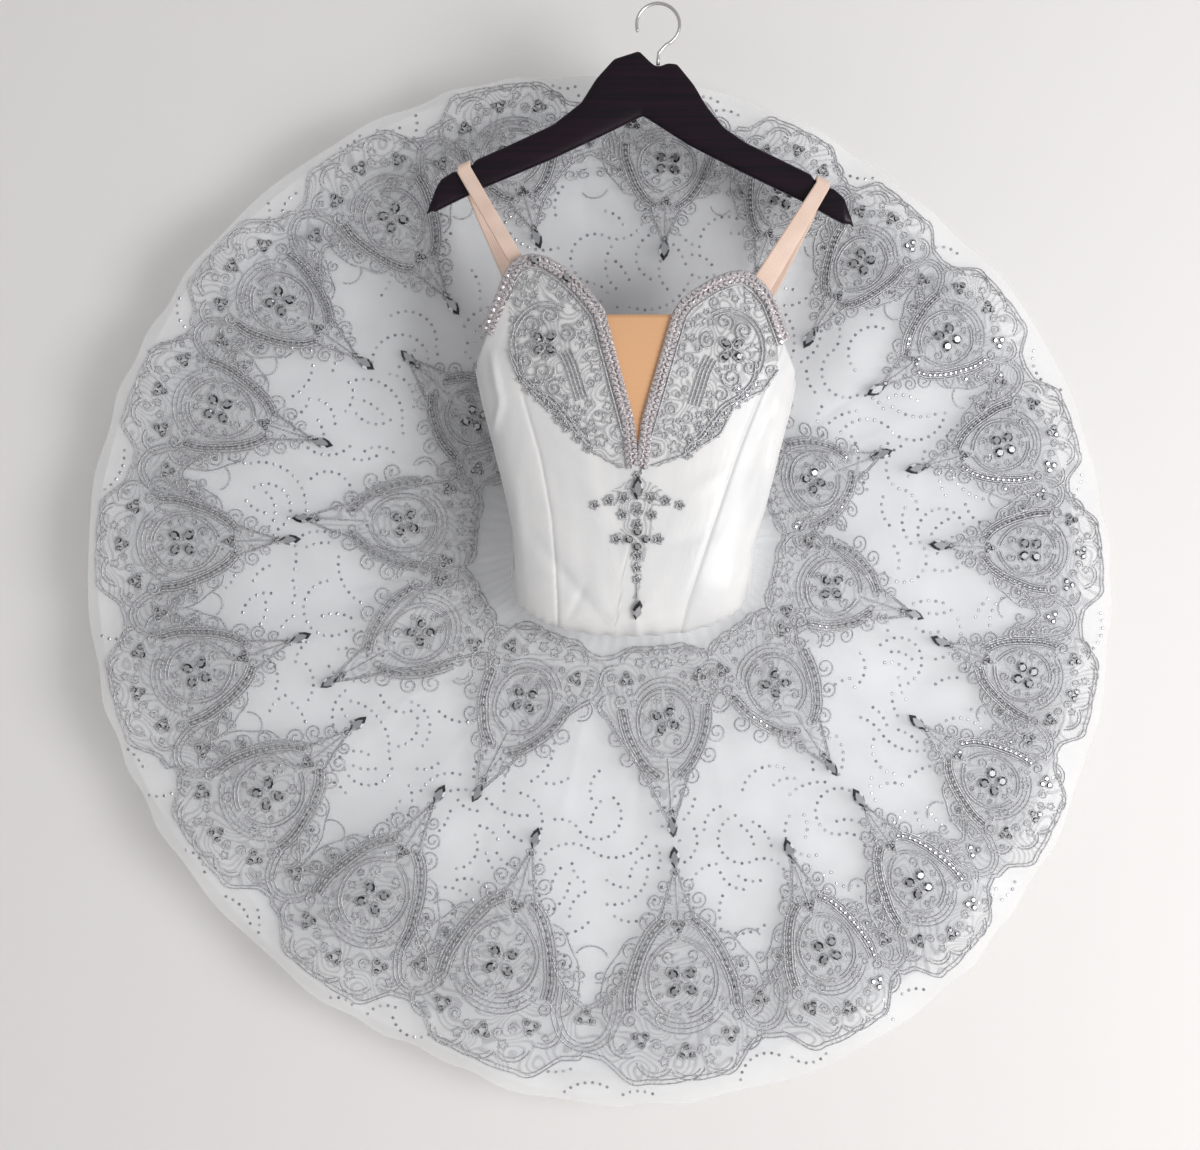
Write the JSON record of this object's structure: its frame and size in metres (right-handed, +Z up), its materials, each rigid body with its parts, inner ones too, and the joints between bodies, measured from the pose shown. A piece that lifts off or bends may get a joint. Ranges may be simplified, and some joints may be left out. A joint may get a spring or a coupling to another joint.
{
  "type": "pancake tutu on a clothes hanger",
  "caption": "White satin bodice with silver lace on a flat round plate of net, hung by nude straps from a dark wooden hanger, skirt flat behind the bodice.",
  "frame": {"origin": "inner top of the hanger's hook, where a rail bears", "axes": "+X to the right as seen from the front, +Y back towards the wall, +Z up; the front faces -Y"},
  "size_m": [1.0235, 0.2078, 1.0841],
  "materials": {
    "white_satin": "satin",
    "white_net": "matte",
    "silver_corded_lace": "metallic thread",
    "crystal_bead_trim": "beaded",
    "nude_mesh": "matte",
    "nude_elastic": "matte",
    "white_knickers_cloth": "matte",
    "dark_lacquered_wood": "gloss lacquer",
    "plated_steel": "plated"
  },
  "bodies": {
    "root": {"bodice_centre_front": "white_satin", "bodice_side_front_left": "white_satin", "bodice_side_front_right": "white_satin", "bodice_back_left": "white_satin", "bodice_back_right": "white_satin", "basque_front": "white_satin", "basque_back": "white_satin", "overlay": "white_net", "net_one": "white_net", "net_two": "white_net", "net_three": "white_net", "net_four": "white_net", "outer_lace_border": "silver_corded_lace", "inner_lace_border": "silver_corded_lace", "cup_applique_left": "silver_corded_lace", "cup_applique_right": "silver_corded_lace", "centre_drop": "silver_corded_lace", "neck_trim_left": "crystal_bead_trim", "neck_trim_right": "crystal_bead_trim", "plunge_insert": "nude_mesh", "strap_left": "nude_elastic", "strap_right": "nude_elastic", "knickers_front": "white_knickers_cloth", "knickers_back": "white_knickers_cloth", "hanger_body": "dark_lacquered_wood", "hanger_hook": "plated_steel"}
  },
  "joints": []
}
